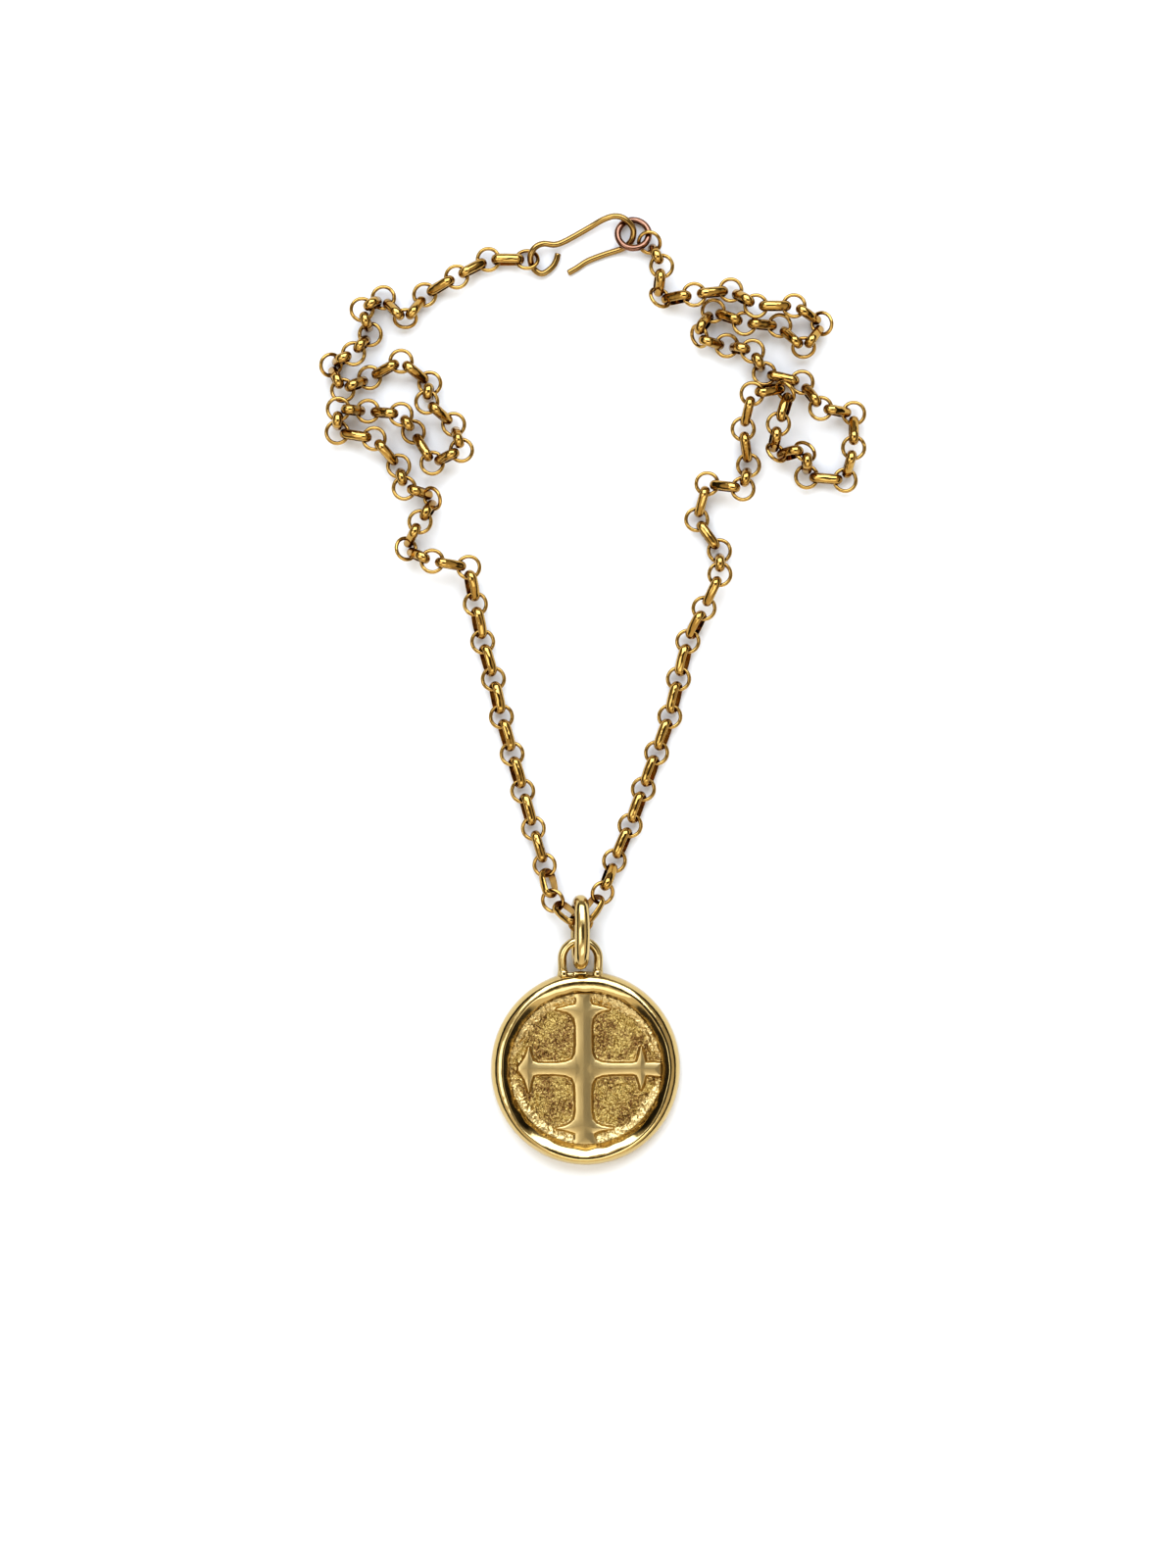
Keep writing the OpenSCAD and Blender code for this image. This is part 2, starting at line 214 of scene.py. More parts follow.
# The lip lies further out at the bottom than elsewhere
crest_out, shoulder_out = 0.5, 0.4

turns = np.linspace(0, 2*np.pi, 480, endpoint=False)
# How much each place round the rim counts as its left or right side, and as its bottom
at_side = smooth(np.abs(np.cos(turns)), 0.35, 0.75)
at_bottom = np.clip((-np.sin(turns) - 0.35)/0.6, 0, 1)
crests = (crest_r + crest_out*at_bottom + ripple(turns, (2, 3, 5, 7), 0.07, 5)
          + ripple(turns, (13, 19), 0.02, 6))
shoulders = (shoulder_r + shoulder_out*at_bottom + ripple(turns, (2, 3, 5, 7), 0.06, 3)
             + ripple(turns, (17, 23, 29), 0.045, 4))
sections = []
for turn, side, crest, shoulder in zip(turns, at_side, crests, shoulders):
    section = [(0.0, back_z), (back_r, back_z)] + [(rim_r - inwards, z) for inwards, z in LOWER_EDGE]
    for a in np.radians(np.arange(0, 91, 6)):
        section.append((crest + (rim_r - crest)*np.cos(a), rim_h - dome_h + dome_h*np.sin(a)))
    tilts = np.radians(side*(steep*np.clip(lip_steps/steep_from, 0, 1) + steeper*lip_steps)
                       + (1 - side)*even*lip_steps)
    drops = np.cumsum(np.tan(tilts)*(crest - shoulder)*np.diff(lip_steps, prepend=0))
    section += list(zip(crest - (crest - shoulder)*lip_steps, rim_h - drops))
    edge_r, edge_z = section[-1]
    section += [(edge_r + (lip_foot_r - edge_r)*f, edge_z + (lip_foot_z - edge_z)*g) for f, g in LIP_FOOT]
    section += SEAT
    # The rim is a little taller than wide, but the disc's seat in it is round
    stretched = [(r*(1 + oval*np.sin(turn)**2*np.clip((r - lip_foot_r)/oval_run, 0, 1)), z)
                 for r, z in section]
    sections.append([(medal_x + r*np.cos(turn), medal_y + rim_up + r*np.sin(turn), z) for r, z in stretched])
rim = np.array(sections)
rim_shell = (rim.reshape(-1, 3), quads(rim.shape[0], rim.shape[1], close_rows=True, close_columns=False))

# The loop is an arch of wire on two legs that draw in a little and thicken with solder towards their feet.
# It rises away from the card.
loop_x, loop_y, loop_z = medal_x - 0.8, medal_y + 16.87, 2.5
loop_r, loop_wire, leg_l, rise = 2.775, 0.675, 3.2, np.radians(10)
drawn_in, solder_start, solder_run, solder_wide = 0.09, 1.2, 1.4, 0.3
legs = np.linspace(-leg_l, 0, 14)[:-1]
arch = np.linspace(np.pi, 0, 48)
loop_line = np.array([(-loop_r, y) for y in legs] + [(loop_r*np.cos(a), loop_r*np.sin(a)) for a in arch]
                     + [(loop_r, y) for y in legs[::-1]])
loop_line[:, 0] *= 1 - drawn_in*np.clip(-loop_line[:, 1]/leg_l, 0, 1)**2
loop_path = np.stack([loop_x + loop_line[:, 0], loop_y + loop_line[:, 1]*np.cos(rise),
                      loop_z + loop_line[:, 1]*np.sin(rise)], 1)
at_foot = np.clip((-solder_start - loop_line[:, 1])/solder_run, 0, 1)
loop_shell = wire(loop_path, loop_wire + solder_wide*at_foot**2, sides=20)


def rounded_block(low, high, rounding):
    """A block of solder with rounded edges, from its lowest to its highest corner in mm."""
    shape = bmesh.new()
    bmesh.ops.create_cube(shape, size=1.0)
    low, high = np.array(low), np.array(high)
    for corner in shape.verts:
        corner.co = Vector((low + high)/2 + np.array(corner.co)*(high - low))
    bmesh.ops.bevel(shape, geom=list(shape.edges), offset=rounding, segments=4, affect="EDGES", profile=0.5)
    bmesh.ops.triangulate(shape, faces=list(shape.faces))
    shape.verts.index_update()
    points = [tuple(v.co) for v in shape.verts]
    faces = [[v.index for v in f.verts] for f in shape.faces]
    shape.free()
    return points, faces


# Solder: bar, knob and the lump at each foot. Middle and half width beside the loop, the range of y from the
# disc's middle, the range of z, and the rounding
SOLDER = [(0, 2.5, 13.7, 14.75, 1.6, 2.85, 0.3),
          (0, 1.15, 13.8, 14.95, 1.9, 3.3, 0.4),
          (-2.55, 0.65, 13.9, 15.25, 1.8, 3.45, 0.5),
          (2.55, 0.65, 13.9, 15.25, 1.8, 3.45, 0.5)]
solder = [rounded_block((loop_x + x - half, medal_y + y0, z0), (loop_x + x + half, medal_y + y1, z1), rounded)
          for x, half, y0, y1, z0, z1, rounded in SOLDER]
piece("bezel_rim", [rim_shell, loop_shell, *solder], burnished_gold, "bezel")

# The disc is cast in one with its relief: a worn raised border, a traditional cross whose arms end in flared
# bars, and a pitted ground. The cross was rubbed smooth by wear, and dirt and tarnish lie in the ground.
# It is held in the bezel by the lip that was rubbed down over its edge.

# Cast gold: the rough skin of the mould scatters the light and glitters at its peaks, the rubbed cross has
# a satin sheen, and brown tarnish dulls the low places of each quarter. The skin's real grain of about 0.1 mm
# is drawn coarser to show. Sizes and heights are in mm.
patch_size, speck_size, grain_size, grain_height = 2.6, 0.35, 0.4, 0.34
cast_gold, at = finish_of("cast_gold")
polish = add(cast_gold, "ShaderNodeAttribute", {}, attribute_name="rubbed").outputs["Fac"]
patches = add(cast_gold, "ShaderNodeTexNoise",
              {"Vector": at, "Scale": 1/patch_size, "Detail": 3.0, "Roughness": 0.6})
specks = add(cast_gold, "ShaderNodeTexNoise",
             {"Vector": at, "Scale": 1/speck_size, "Detail": 3.0, "Roughness": 0.7})
stain = add(cast_gold, "ShaderNodeMapRange",
            {"Value": patches.outputs["Fac"], "From Min": 0.43, "From Max": 0.56})
speckled = add(cast_gold, "ShaderNodeMapRange",
               {"Value": specks.outputs["Fac"], "From Min": 0.34, "From Max": 0.6})
stained = add(cast_gold, "ShaderNodeMath",
              {0: stain.outputs[0], 1: speckled.outputs[0]}, operation="MULTIPLY")
unrubbed = add(cast_gold, "ShaderNodeMath", {0: 1.0, 1: polish}, operation="SUBTRACT")
dirt = add(cast_gold, "ShaderNodeMath",
           {0: stained.outputs[0], 1: unrubbed.outputs[0]}, operation="MULTIPLY")
raw = add(cast_gold, "ShaderNodeMix",
          {0: specks.outputs["Fac"], 6: linear("#ceb577"), 7: linear("#8f7641")}, data_type="RGBA")
worn = add(cast_gold, "ShaderNodeMix", {0: polish, 6: raw.outputs[2], 7: linear("#c9b07c")}, data_type="RGBA")
tarnished = add(cast_gold, "ShaderNodeMix",
                {0: dirt.outputs[0], 6: worn.outputs[2], 7: linear("#7a5a38")}, data_type="RGBA")
gloss = add(cast_gold, "ShaderNodeMapRange", {"Value": polish, "To Min": 0.22, "To Max": 0.32})
grain = add(cast_gold, "ShaderNodeTexNoise",
            {"Vector": at, "Scale": 1/grain_size, "Detail": 2.0, "Roughness": 0.6})
grain_left = add(cast_gold, "ShaderNodeMapRange", {"Value": polish, "To Min": 1.0, "To Max": 0.0})
grained = add(cast_gold, "ShaderNodeBump",
              {"Height": grain.outputs["Fac"], "Strength": grain_left.outputs[0],
               "Distance": grain_height*MM})
metal(cast_gold, tarnished.outputs[2], gloss.outputs[0], grained.outputs[0])

# Half outlines of the arms: distance from the middle, reach to the left and to the right of the arm, in mm.
# The worn casting left no two arms alike.
ARM_UP = [(0, 1.3, 1.3), (0.9, 2.3, 2.2), (1.3, 1.6, 1.6), (2.2, 1.25, 1.3), (4, 1.15, 1.2), (6.6, 1.2, 1.2),
          (7.7, 1.4, 1.4), (8.4, 2, 1.9), (8.8, 2.7, 2.6), (9.1, 4.1, 3.9), (9.5, 2.7, 2.5), (9.8, 1.3, 1.3),
          (10.4, 1.05, 1), (11.8, 1.1, 1.1)]
ARM_RIGHT = [(0, 0.8, 0.8), (1.3, 2, 2), (1.8, 1.3, 1.3), (2.8, 0.95, 0.95), (4.5, 0.8, 0.8),
             (7.4, 0.8, 0.75), (8.1, 1, 0.9), (8.4, 1.7, 1.7), (8.8, 3.3, 3), (9.2, 2, 2.1), (9.5, 0.9, 0.9),
             (11.8, 0.85, 1.1)]
ARM_DOWN = [(0, 1.3, 1.3), (0.9, 2.2, 2.3), (1.3, 1.6, 1.6), (2.2, 1.25, 1.3), (4, 1.15, 1.2),
            (6.6, 1.2, 1.2), (7.7, 1.4, 1.4), (8.4, 2, 2.1), (8.8, 2.8, 2.8), (9.1, 4.5, 4.1),
            (9.5, 2.4, 2.3), (9.9, 1.5, 1.2), (11.8, 1.9, 1.3)]
ARM_LEFT = [(0, 0.8, 0.8), (1.3, 2, 2), (1.8, 1.3, 1.3), (2.8, 0.95, 0.95), (4.5, 0.8, 0.8), (7, 0.8, 0.85),
            (7.7, 1, 1.1), (8, 1.8, 1.9), (8.4, 3.5, 3.2), (9, 1.7, 1.7), (9.5, 0.9, 0.9), (10, 0.3, 0.3)]
ARMS = [(ARM_UP, 0, 1), (ARM_RIGHT, 1, 0), (ARM_DOWN, 0, -1), (ARM_LEFT, -1, 0)]
# The cross stands a little left of the disc's middle. Its arms start past their middle, so that the four
# overlap, and the corners between them are rounded over.
CROSS_X = -0.3
PAST_MIDDLE = 1.3
ROUNDED_OVER = 0.16


def depth_inside(x, y, outline):
    """Distance from each point to a closed outline, positive inside it."""
    nearest = np.full(x.shape, 1e9)
    inside = np.zeros(x.shape, bool)
    for (ax, ay), (bx, by) in zip(outline, outline[1:] + outline[:1]):
        dx, dy = bx - ax, by - ay
        t = np.clip(((x - ax)*dx + (y - ay)*dy)/(dx*dx + dy*dy), 0, 1)
        nearest = np.minimum(nearest, np.hypot(x - ax - t*dx, y - ay - t*dy))
        if ay != by:
            inside ^= ((ay > y) != (by > y)) & (x < ax + dx*(y - ay)/(by - ay))
    return np.where(inside, nearest, -nearest)


# The face is a square grid bent round, so that its facets are of one size from the middle to the edge.
disc_r, bottom_z, ground_z = 11.7, 0.92, 1.8
side_n = 290
u, v = np.meshgrid(np.linspace(-1, 1, side_n), np.linspace(-1, 1, side_n))
wide = np.abs(u) > np.abs(v)
ratio = np.where(wide, v/np.where(u == 0, 1, u), u/np.where(v == 0, 1, v))*np.pi/4
x = disc_r*np.where(wide, u*np.cos(ratio), v*np.sin(ratio))
y = disc_r*np.where(wide, u*np.sin(ratio), v*np.cos(ratio))

arm_depths = []
for arm, ahead_x, ahead_y in ARMS:
    rows = [(-PAST_MIDDLE, *arm[0][1:])] + arm
    left = [(d*ahead_x - a*ahead_y, d*ahead_y + a*ahead_x) for d, a, b in rows]
    right = [(d*ahead_x + b*ahead_y, d*ahead_y - b*ahead_x) for d, a, b in rows]
    arm_depths.append(depth_inside(x - CROSS_X, y, left + right[::-1]))
cross_depth = ROUNDED_OVER*np.log(sum(np.exp(np.clip(d/ROUNDED_OVER, -60, 60)) for d in arm_depths))


def rough(scale, octaves, offset):
    """Uneven cast skin: fractal noise at every point of the disc, with lumps of the given size in mm.

    The offset picks another stretch of the noise.
    """
    flat = [noise.fractal(Vector((a/scale, b/scale, offset)), 0.7, 2.1, octaves)
            for a, b in zip(x.ravel(), y.ravel())]
    return np.array(flat).reshape(x.shape)


# The ground has pits, deeper near the border, and broad lumps. Sizes, heights and radii are in mm.
pit_size, pit_h, deeper = 0.62, 0.19, 0.08
lump_size, lump_h = 2.4, 0.05
# The border rises from an edge that wavers and is nicked, and is worn away at the left and right arm's ends.
border_r, border_run_in, border_run_out, border_h, skin_top = 10.2, 0.35, 1.25, 0.44, 2.28
waver_size, waver, nick_size, nick = 1.6, 0.3, 0.5, 0.12
worn_away, worn_run = 0.8, 0.05
# The cross has flanks from outside its outline to just inside it, a rounded crown and a slightly worn top.
flank_out, flank_in = 0.46, 0.06
cross_h, crown_h, crown_run, wear_size, wear_h = 0.58, 0.15, 0.7, 3.5, 0.02
# The edge of the disc is kept low, under the bezel's lip.
edge_w, edge_top = 0.15, 2.2

from_middle = np.hypot(x, y)
around = np.arctan2(y, x)
pits = rough(pit_size, 3, 3.1)
lumps = rough(lump_size, 2, 7.7)
border_edge = border_r + waver*rough(waver_size, 2, 1.3) + nick*rough(nick_size, 2, 9.2)
border = smooth(from_middle, border_edge - border_run_in, border_edge + border_run_out)
worn_sides = 1 - worn_away*np.exp(-((np.abs(np.cos(around)) - 1)/worn_run)**2)
border = border*worn_sides
near_border = smooth(from_middle, 8.6, 9.8)
skin = ground_z + (pit_h + deeper*near_border)*pits*(1 - 0.6*border) + lump_h*lumps + border_h*border
skin = np.minimum(skin, skin_top)
cross = smooth(cross_depth, -flank_out, flank_in)
crown = crown_h*(1 - np.exp(-np.clip(cross_depth, 0, None)/crown_run))
relief = skin*(1 - cross) + (ground_z + cross_h + wear_h*rough(wear_size, 2, 5.5))*cross + crown
relief = np.where(from_middle > disc_r - edge_w, np.minimum(relief, edge_top), relief)
# Rubbing reached the cross with its flanks, and nearly all of the border
rubbed = np.maximum(smooth(cross_depth, -0.6, -0.3), 0.9*smooth(border, 0.1, 0.35))

# Under the face come a straight wall and a flat back.
top = np.stack([medal_x + x, medal_y + y, relief], -1).reshape(-1, 3)
grid = np.arange(side_n*side_n).reshape(side_n, side_n)
edge = np.concatenate([grid[0], grid[1:, -1], grid[-1, -2::-1], grid[-2:0:-1, 0]])
skirt = top[edge].copy()
skirt[:, 2] = bottom_z
middle = np.array([[medal_x, medal_y, bottom_z]])
n_top, n_edge = len(top), len(edge)
before, after = np.arange(n_edge), np.roll(np.arange(n_edge), -1)
walls = np.stack([edge, edge[after], n_top + after, n_top + before], 1)
back = np.stack([n_top + after, n_top + before, np.full(n_edge, n_top + n_edge)], 1)
faces = quads(side_n, side_n, close_columns=False).tolist() + walls.tolist() + back.tolist()
disc_shell = (np.vstack([top, skirt, middle]), faces)
disc = piece("cross_relief", [disc_shell], cast_gold, "cross_disc")
rub_marks = disc.data.attributes.new("rubbed", "FLOAT", "POINT")
rub_marks.data.foreach_set("value", np.concatenate([rubbed.ravel(), np.ones(n_edge + 1)]).astype(np.float32))

# The bail is a thick oval ring of round gold wire, bent and soldered shut. It stands in the medallion's loop,
# leans to one side, and carries the ring in which both sides of the chain meet.
bail_l, bail_h, bail_wire, lean, fullness = 11.5, 7.6, 2.33, np.radians(7), 2.3
nearer, polished_off = 0.15, 0.02
bail_low, bail_high = (np.array(c)/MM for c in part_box("bail"))
bail_centre = (bail_low + bail_high)/2 - [0, nearer, 0]
half_l, half_h = (bail_l - bail_wire)/2, (bail_h - bail_wire)/2
bend = np.linspace(0, 2*np.pi, 110, endpoint=False)
along = half_l*np.sign(np.cos(bend))*np.abs(np.cos(bend))**(2/fullness)
above = half_h*np.sign(np.sin(bend))*np.abs(np.sin(bend))**(2/fullness)
bail_points = bail_centre + np.stack([above*np.sin(lean), along, above*np.cos(lean)], 1)
bail_radius = bail_wire/2 - polished_off + ripple(bend, (2, 3, 5), 0.012, 11)
bail_shell = wire(bail_points, bail_radius, sides=28, closed=True)
piece("bail_ring", [bail_shell], burnished_gold, "bail")

# The chain alternates round rings of thin wire with long links of half-round wire, flat inside and rounded
# outside. Every ring and link is bent by hand and soldered shut, so no two are quite alike, and they hang
# loose in each other.


def drawn_gold(name, light, dark, dent_size, dent_depth):
    """Gold wire from the drawplate, polished: bright, with faint lines and dents of a size and depth in mm.

    The lines are really as fine as hairs, and are drawn coarser to show.
    """
    # The size of lines and of changes in tone, the lines' depth, and how near a neighbour must be to cast the
    # painted shade
    line_size, tone_size, line_depth, shade_reach = 0.25, 3.0, 0.012, 1.8
    material, at = finish_of(name)
    dents = add(material, "ShaderNodeTexNoise",
                {"Vector": at, "Scale": 1/dent_size, "Detail": 1.0, "Roughness": 0.4})
    lines = add(material, "ShaderNodeTexNoise",
                {"Vector": at, "Scale": 1/line_size, "Detail": 2.0, "Roughness": 0.6})
    gloss = add(material, "ShaderNodeMapRange",
                {"Value": lines.outputs["Fac"], "From Min": 0.35, "From Max": 0.68,
                 "To Min": 0.05, "To Max": 0.14})
    tone = add(material, "ShaderNodeTexNoise", {"Vector": at, "Scale": 1/tone_size, "Detail": 2.0})
    bright = add(material, "ShaderNodeMix",
                 {0: tone.outputs["Fac"], 6: linear(light), 7: linear(dark)}, data_type="RGBA")
    # Painted shade: an occlusion test darkens the colour to a reddish brown where other parts are near. It
    # stands in for shade and for the light that gold reflects between its parts
    shade_probe = add(material, "ShaderNodeAmbientOcclusion", {"Distance": shade_reach*MM}, samples=6)
    painted_shade = add(material, "ShaderNodeMapRange",
               {"Value": shade_probe.outputs["AO"], "From Min": 0.2, "From Max": 0.9,
                "To Min": 1.0, "To Max": 0.0})
    shaded = add(material, "ShaderNodeMix",
                 {0: painted_shade.outputs[0], 6: bright.outputs[2], 7: linear("#693106")}, data_type="RGBA")
    dented = add(material, "ShaderNodeBump",
                 {"Height": dents.outputs["Fac"], "Strength": 1.0, "Distance": dent_depth*MM})
    lined = add(material, "ShaderNodeBump",
                {"Height": lines.outputs["Fac"], "Strength": 0.3, "Distance": line_depth*MM,
                 "Normal": dented.outputs[0]})
    return metal(material, shaded.outputs[2], gloss.outputs[0], lined.outputs[0])


# Tumbled gold links: years of wear against each other left them bright, but softly dented, so the light
# breaks up in patches, and a reddish brown painted shade darkens them where neighbours are near.
tumbled_gold = drawn_gold("tumbled_gold_links", "#c6a566", "#a27f41", 1.5, 0.16)


def loose_solids(node):
    """Centre, main axes and spread of each loose solid of a CAD node, in mm, with the longest axis first."""
    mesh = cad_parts[node].data
    mesh.calc_loop_triangles()
    points = np.empty(len(mesh.vertices)*3)
    mesh.vertices.foreach_get("co", points)
    points = points.reshape(-1, 3)/MM
    corners = np.empty(len(mesh.loop_triangles)*3, np.int32)
    mesh.loop_triangles.foreach_get("vertices", corners)
    same = np.unique(points.round(4), axis=0, return_inverse=True)[1].ravel()
    joined = same[corners.reshape(-1, 3)]
    # Each point takes the lowest label of its triangles, until every solid has one label
    label = np.arange(same.max() + 1)
    while True:
        lowest = label[joined].min(1)
        new = label.copy()
        for k in range(3):
            np.minimum.at(new, joined[:, k], lowest)
        new = new[new]
        if (new == label).all():
            break
        label = new
    triangles = points[corners].reshape(-1, 3, 3)
    side_a, side_b = triangles[:, 1] - triangles[:, 0], triangles[:, 2] - triangles[:, 0]
    weight = np.linalg.norm(np.cross(side_a, side_b), axis=1)
    middles = triangles.mean(1)
    owner = label[joined[:, 0]]
    found = []
    for solid in np.unique(owner):
        mine = owner == solid
        centre = np.average(middles[mine], axis=0, weights=weight[mine])
        spread, axes = np.linalg.eigh(np.cov((middles[mine] - centre).T, aweights=weight[mine]))
        found.append((centre, axes.T[::-1], spread[::-1]))
    return found


def flat_ring(across, wire_d, steps):
    """The middle line of a round ring that lies flat, from its width over all and its wire's, in mm."""
    turn = np.linspace(0, 2*np.pi, steps, endpoint=False)
    return (across - wire_d)/2*np.stack([np.cos(turn), np.sin(turn), 0*turn], 1)


ring_d, ring_wire, ring_steps = 3.9, 0.58, 48
ring_points, ring_faces = wire(flat_ring(ring_d, ring_wire, ring_steps), ring_wire/2, sides=12, closed=True)

# A long link has two half-round ends and two long bars that bow out a little. Its outline gives, for each
# section, the middle of the bend, the way out of the link and the bow.
link_l, link_h, link_w, link_t, bow, flat_inset = 5.15, 2.7, 1.45, 0.45, 0.1, 0.06
half = (link_l - link_h)/2
outline = []
for side in (1, -1):
    outline += [(side*half, side*np.sin(a), side*np.cos(a), 0.0) for a in np.linspace(0, np.pi, 22)]
    outline += [(-side*x, 0.0, -side, bow*(1 - (x/half)**2)) for x in np.linspace(-half, half, 9)[1:-1]]
arc_r = (link_w*link_w/4 + link_t*link_t)/(2*link_t)
arc_edge = np.arcsin(link_w/2/arc_r)
round_side = [(arc_r*np.sin(a), link_h/2 - arc_r + arc_r*np.cos(a))
              for a in np.linspace(-arc_edge, arc_edge, 11)]
flat_side = [(w, link_h/2 - link_t)
             for w in (0.5*link_w - flat_inset, 0.25*link_w, -0.25*link_w, -0.5*link_w + flat_inset)]
section = round_side + flat_side
link_points = np.array([(shift + out*c, (out + bowed)*s, w)
                        for shift, c, s, bowed in outline for w, out in section])
link_faces = quads(len(outline), len(section), close_rows=True)


def chain_shells(node, seed):
    """A ring or a long link for every loose solid of a chain, with small differences of hand work."""
    # A share of the ring's width, the roll in radians, and how far from the bail links roll, in mm
    uneven, roll, reach_x, reach_left, reach_right = 0.006, 0.55, 7, 10, 6
    rng = np.random.default_rng(seed)
    shells = []
    for centre, axes, spread in loose_solids(node):
        is_ring = spread[1] > 0.8*spread[0]
        points = ring_points if is_ring else link_points
        oval = 1 + rng.uniform(-uneven, uneven)
        spin = rng.uniform(0, 2*np.pi) if is_ring else 0.0
        from_bail = centre[:2] - [loop_x, bail_centre[1]]
        reach_y = reach_left if from_bail[0] < 0 else reach_right
        by_bail = abs(from_bail[0]) < reach_x and from_bail[1] < reach_y
        if by_bail and not is_ring:
            # The links next to the bail roll over, and show their holes
            rolled = -roll*np.sign(axes[1][2]*axes[2][2])
            axes = np.array([axes[0], axes[1]*np.cos(rolled) + axes[2]*np.sin(rolled),
                             axes[2]*np.cos(rolled) - axes[1]*np.sin(rolled)])
        spun = np.array([[np.cos(spin), np.sin(spin), 0], [-np.sin(spin), np.cos(spin), 0], [0, 0, 1]])
        turned = (points*[oval, 1/oval, 1]) @ spun
        shells.append((centre + turned @ axes, ring_faces if is_ring else link_faces))
    return shells


piece("chain_left_links", chain_shells("chain_left", 21), tumbled_gold, "chain_left")
piece("chain_right_links", chain_shells("chain_right", 22), tumbled_gold, "chain_right")

# The clasp is an S-shaped hook of gold wire. Its closed curl holds the left chain's first ring, and its long
# open hook passes through the ring of the right chain. The wire was bent round pliers, and its ends filed.

# Drawn gold wire: smoother than the links, because only the fingers touch it, with long unbroken highlights.
# Like the links, the hook gets a reddish brown painted shade where other parts are near
hook_gold = drawn_gold("drawn_gold_hook", "#aa8c58", "#90733f", 2.5, 0.03)

# The wire's middle line from the curl's tip to the hook's, in mm: x, y and height over the card. Below, x and
# y are shifted on to the hook of the CAD model.
HOOK_LINE = [(-4.2, 124.9, 0.9), (-4.5, 123.8, 0.9), (-5.2, 122.7, 0.9), (-6.6, 121.8, 0.9),
             (-7.8, 122.4, 0.95), (-8.4, 123.6, 1.35), (-8.3, 124.8, 1.85), (-7.6, 125.8, 2),
             (-6.4, 126.3, 1.8), (-4.7, 126.2, 1.4), (-3, 126.8, 1.2), (0.4, 128.7, 1.2),
             (2.7, 130, 1.6), (4.5, 130.5, 1.95), (6, 130.1, 1.95), (7.2, 128.8, 1.6),
             (7.3, 127.5, 1.1), (6.7, 126.4, 0.9), (5.5, 125.6, 0.6), (3, 124.8, 0.5),
             (0.4, 123.8, 0.5), (-1.3, 122.7, 0.5), (-2.7, 121.9, 0.5)]


def eased(points, steps):
    """A smooth line through points, with the given number of steps between each two."""
    p = np.asarray(points, float)
    p = np.vstack([2*p[0] - p[1], p, 2*p[-1] - p[-2]])
    line = []
    for a, b, c, d in zip(p[:-3], p[1:-2], p[2:-1], p[3:]):
        for t in np.arange(steps)/steps:
            line.append(0.5*(2*b + (c - a)*t + (2*a - 5*b + 4*c - d)*t**2 + (3*b - a - 3*c + d)*t**3))
    line.append(p[-2])
    return np.array(line)


hook_wire, hook_lowest = 0.95, 0.5
hook_low, hook_high = (np.array(c)/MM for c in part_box("clasp_hook"))
hook_path = eased(HOOK_LINE, 8)
for k in (0, 1):
    hook_path[:, k] += (hook_low[k] + hook_high[k])/2 - (hook_path[:, k].min() + hook_path[:, k].max())/2
hook_path[:, 2] = np.maximum(hook_path[:, 2], hook_lowest)
piece("clasp_hook_wire", [wire(hook_path, hook_wire/2, sides=20)], hook_gold, "clasp_hook")

# The ring that the hook closes in is thicker and of redder gold, with more copper in it, so it was made or
# replaced apart from the chain. It is round wire, soldered shut.

# Drawn rose gold: bright on its worn edges, with a copper tone that darkens to brown where it is rubbed less.
# Its scratches are drawn coarser than real ones, to show. Sizes and depths are in mm.
blush_size, scratch_size, blush_depth, scratch_depth = 1.8, 0.2, 0.05, 0.012
rose_gold, at = finish_of("drawn_rose_gold")
blush = add(rose_gold, "ShaderNodeTexNoise", {"Vector": at, "Scale": 1/blush_size, "Detail": 3.0})
scratches = add(rose_gold, "ShaderNodeTexNoise", {"Vector": at, "Scale": 1/scratch_size, "Detail": 3.0})
gloss = add(rose_gold, "ShaderNodeMapRange",
            {"Value": scratches.outputs["Fac"], "From Min": 0.3, "From Max": 0.7,
             "To Min": 0.08, "To Max": 0.2})
copper = add(rose_gold, "ShaderNodeMix",
             {0: blush.outputs["Fac"], 6: linear("#a58068"), 7: linear("#694738")}, data_type="RGBA")
soft = add(rose_gold, "ShaderNodeBump",
           {"Height": blush.outputs["Fac"], "Strength": 0.8, "Distance": blush_depth*MM})
scratched = add(rose_gold, "ShaderNodeBump",
                {"Height": scratches.outputs["Fac"], "Strength": 0.4, "Distance": scratch_depth*MM,
                 "Normal": soft.outputs[0]})
metal(rose_gold, copper.outputs[2], gloss.outputs[0], scratched.outputs[0])

clasp_centre, clasp_axes, _ = loose_solids("clasp_ring")[0]
clasp_d, clasp_wire, thicker, clasp_steps = 5.7, 0.95, 0.03, 72
clasp_turn = np.linspace(0, 2*np.pi, clasp_steps, endpoint=False)
clasp_path = clasp_centre + flat_ring(clasp_d, clasp_wire, clasp_steps) @ clasp_axes
clasp_radius = clasp_wire/2 + thicker + ripple(clasp_turn, (2, 3, 5), 0.006, 31)
clasp_shell = wire(clasp_path, clasp_radius, sides=18, closed=True)
piece("clasp_ring_wire", [clasp_shell], rose_gold, "clasp_ring")

# The necklace lies on a large sheet of smooth white card, 3 m wide so that no edge shows.

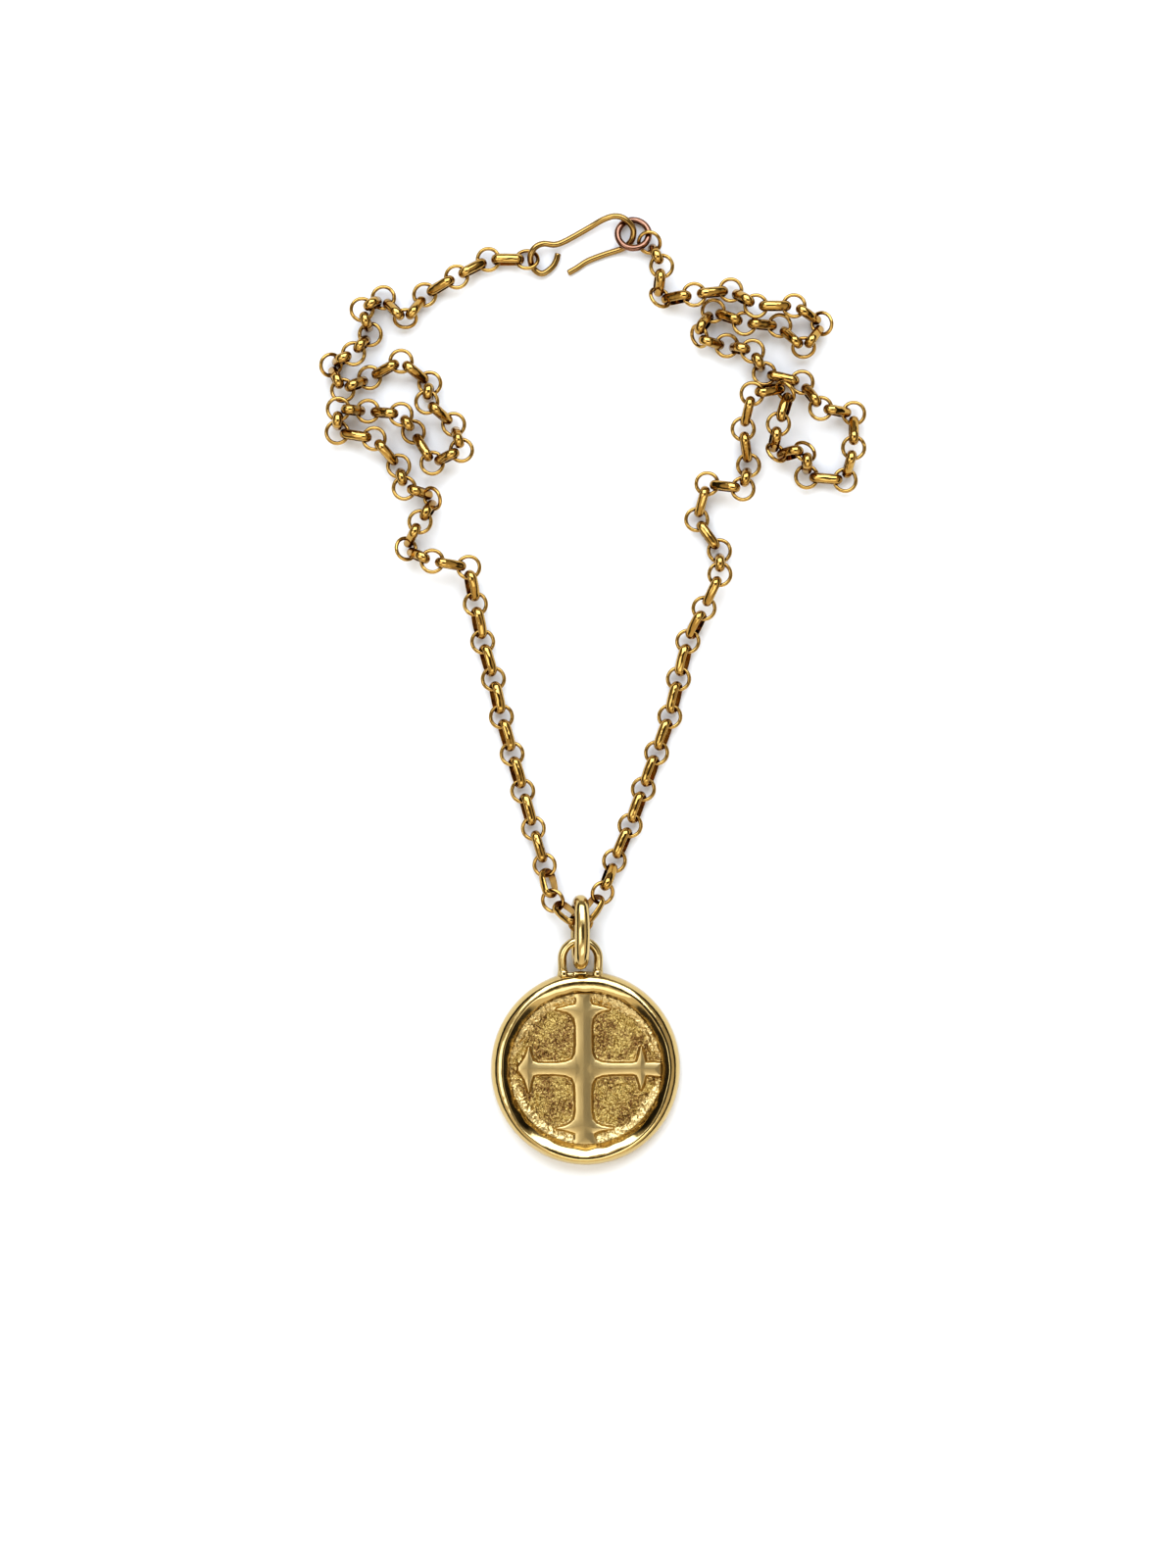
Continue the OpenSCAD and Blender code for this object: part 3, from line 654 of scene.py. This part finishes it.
# White card: pressed pulp without shine, with a faint tone of its fibres. They are drawn 0.4 mm wide, which
# is coarser than real ones.
card_half, fibre_size = 1.5, 0.4
card = bpy.data.meshes.new("card")
card.from_pydata([(-card_half, -card_half, 0), (card_half, -card_half, 0), (card_half, card_half, 0),
                  (-card_half, card_half, 0)], [], [(0, 1, 2, 3)])
floor = bpy.data.objects.new("card", card)
bpy.context.scene.collection.objects.link(floor)
white_card, at = finish_of("white_card")
fibre = add(white_card, "ShaderNodeTexNoise", {"Vector": at, "Scale": 1/fibre_size, "Detail": 3.0})
paper = add(white_card, "ShaderNodeMix",
            {0: fibre.outputs["Fac"], 6: linear("#f4f1ea"), 7: linear("#f6f3ec")}, data_type="RGBA")
matt = add(white_card, "ShaderNodeBsdfPrincipled",
           {"Base Color": paper.outputs[2], "Roughness": 0.9, "Specular IOR Level": 0.2})
add(white_card, "ShaderNodeOutputMaterial", {"Surface": matt.outputs[0]})
card.materials.append(white_card)

# The studio around it is grey: lighter on the near side than beyond the clasp, with dark flags low on the
# left and right, and a dark patch overhead, a little to the right, where the camera hangs.
overhead_patch = (0.19, 0.0, 0.982)
studio = bpy.data.worlds.new("studio")
bpy.context.scene.world = studio
studio.use_nodes = True
studio.node_tree.nodes.clear()
sky = add(studio, "ShaderNodeTexCoord", {})
towards = add(studio, "ShaderNodeSeparateXYZ", {"Vector": sky.outputs["Generated"]})
grey = add(studio, "ShaderNodeMapRange",
           {"Value": towards.outputs["Y"], "From Min": -1.0, "From Max": 1.0, "To Min": 0.9, "To Max": 0.26})
sideways = add(studio, "ShaderNodeMath", {0: towards.outputs["X"]}, operation="ABSOLUTE")
beside = add(studio, "ShaderNodeMapRange",
             {"Value": sideways.outputs[0], "From Min": 0.4, "From Max": 0.7},
             interpolation_type="SMOOTHSTEP")
low_down = add(studio, "ShaderNodeMapRange",
               {"Value": towards.outputs["Z"], "From Min": 0.25, "From Max": 0.5,
                "To Min": 0.92, "To Max": 0.0}, interpolation_type="SMOOTHSTEP")
flags = add(studio, "ShaderNodeMath", {0: beside.outputs[0], 1: low_down.outputs[0]}, operation="MULTIPLY")
unflagged = add(studio, "ShaderNodeMath", {0: 1.0, 1: flags.outputs[0]}, operation="SUBTRACT")
walls_lit = add(studio, "ShaderNodeMath", {0: grey.outputs[0], 1: unflagged.outputs[0]}, operation="MULTIPLY")
overhead = add(studio, "ShaderNodeVectorMath",
               {0: sky.outputs["Generated"], 1: overhead_patch}, operation="DOT_PRODUCT")
patch = add(studio, "ShaderNodeMapRange",
            {"Value": overhead.outputs["Value"], "From Min": 0.93, "From Max": 0.985,
             "To Min": 1.0, "To Max": 0.1}, interpolation_type="SMOOTHSTEP")
total = add(studio, "ShaderNodeMath", {0: walls_lit.outputs[0], 1: patch.outputs[0]}, operation="MULTIPLY")
lit = add(studio, "ShaderNodeBackground", {"Color": linear("#fff8ec"), "Strength": total.outputs[0]})
add(studio, "ShaderNodeOutputWorld", {"Surface": lit.outputs[0]})


def softbox(name, place, width, height, power):
    """A rectangular softbox, in metres and watts, that faces the necklace."""
    light = bpy.data.lights.new(name, "AREA")
    light.shape = "RECTANGLE"
    light.size, light.size_y, light.energy = width, height, power
    light.color = linear("#d8e7ff")[:3]
    made = bpy.data.objects.new(name, light)
    made.location = place
    made.rotation_euler = (-Vector(place)).to_track_quat("-Z", "Y").to_euler()
    bpy.context.scene.collection.objects.link(made)


# The large softbox beyond the clasp gives most of the light. Two small ones lift the left and near sides.
softbox("softbox_far", (0.0, 0.58, 0.7), 1.15, 0.8, 9.8)
softbox("softbox_left", (-0.5, -0.1, 0.8), 0.35, 0.5, 1.1)
softbox("softbox_near", (0.1, -0.52, 0.72), 0.7, 0.35, 1.1)

# The camera looks straight down. Its place from the medallion's middle, in mm, puts the necklace where the
# photograph's frame has it, and in the same size.
camera_right, camera_up, camera_height = 0.375, 43.575, 802
eye = bpy.data.cameras.new("camera")
eye.lens, eye.sensor_width, eye.sensor_fit = 120, 36, "AUTO"
camera = bpy.data.objects.new("camera", eye)
camera.location = ((medal_x + camera_right)*MM, (medal_y + camera_up)*MM, camera_height*MM)
bpy.context.scene.collection.objects.link(camera)
bpy.context.scene.camera = camera
bpy.context.scene.view_settings.view_transform = "Standard"
bpy.context.scene.view_settings.look = "High Contrast"
